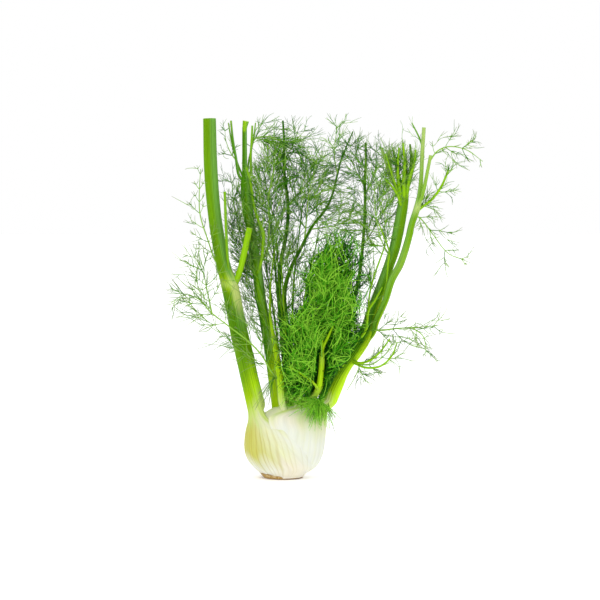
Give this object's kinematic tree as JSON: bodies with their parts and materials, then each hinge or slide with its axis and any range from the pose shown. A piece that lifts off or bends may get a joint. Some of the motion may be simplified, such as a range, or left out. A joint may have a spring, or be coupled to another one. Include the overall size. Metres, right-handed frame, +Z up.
{
  "type": "fennel bulb",
  "caption": "Florence fennel: pale bulb of overlapping leaf bases on a cut root plate, with ridged green stalks and feathery fronds.",
  "frame": {"origin": "middle of the flat cut under the root plate, on the surface that the bulb stands on", "axes": "+Z up along the bulb, +X to the right and -Y towards the front"},
  "size_m": [0.3408, 0.092, 0.3958],
  "materials": {
    "root_plate": "dry cut root, tan and rough",
    "leaf_left": "fresh satin leaf base, pale yellow-green to green",
    "leaf_right": "fresh satin leaf base, near white to green",
    "leaf_second": "fresh satin stalk, dark green",
    "heart": "fresh satin inner leaf bases and stalks, light green",
    "frond": "soft matt thread leaves, dark green",
    "frond_young": "soft matt thread leaves, bright green"
  },
  "bodies": {
    "root": {"root_plate": "root_plate", "leaf_left": "leaf_left", "leaf_right": "leaf_right", "leaf_second": "leaf_second", "heart": "heart", "frond_left_spray": "frond", "frond_left_side": "frond", "frond_second_left": "frond", "frond_second_top": "frond", "frond_second_arch": "frond", "frond_second_middle": "frond", "frond_back_left_low": "frond", "frond_back_left_right": "frond", "frond_back_left_top": "frond", "frond_middle_low": "frond", "frond_middle_right": "frond", "frond_middle_top": "frond", "frond_right_back_left": "frond", "frond_right_back_right": "frond", "frond_right_back_low": "frond", "frond_right_inner": "frond", "frond_tip_long": "frond", "frond_tip_upright": "frond", "frond_tip_hanging": "frond", "frond_right_spray_high": "frond", "frond_right_spray_low": "frond", "frond_young_left": "frond_young", "frond_young_middle": "frond_young", "frond_young_right": "frond_young", "frond_young_side": "frond_young", "frond_young_low": "frond_young"}
  },
  "joints": []
}
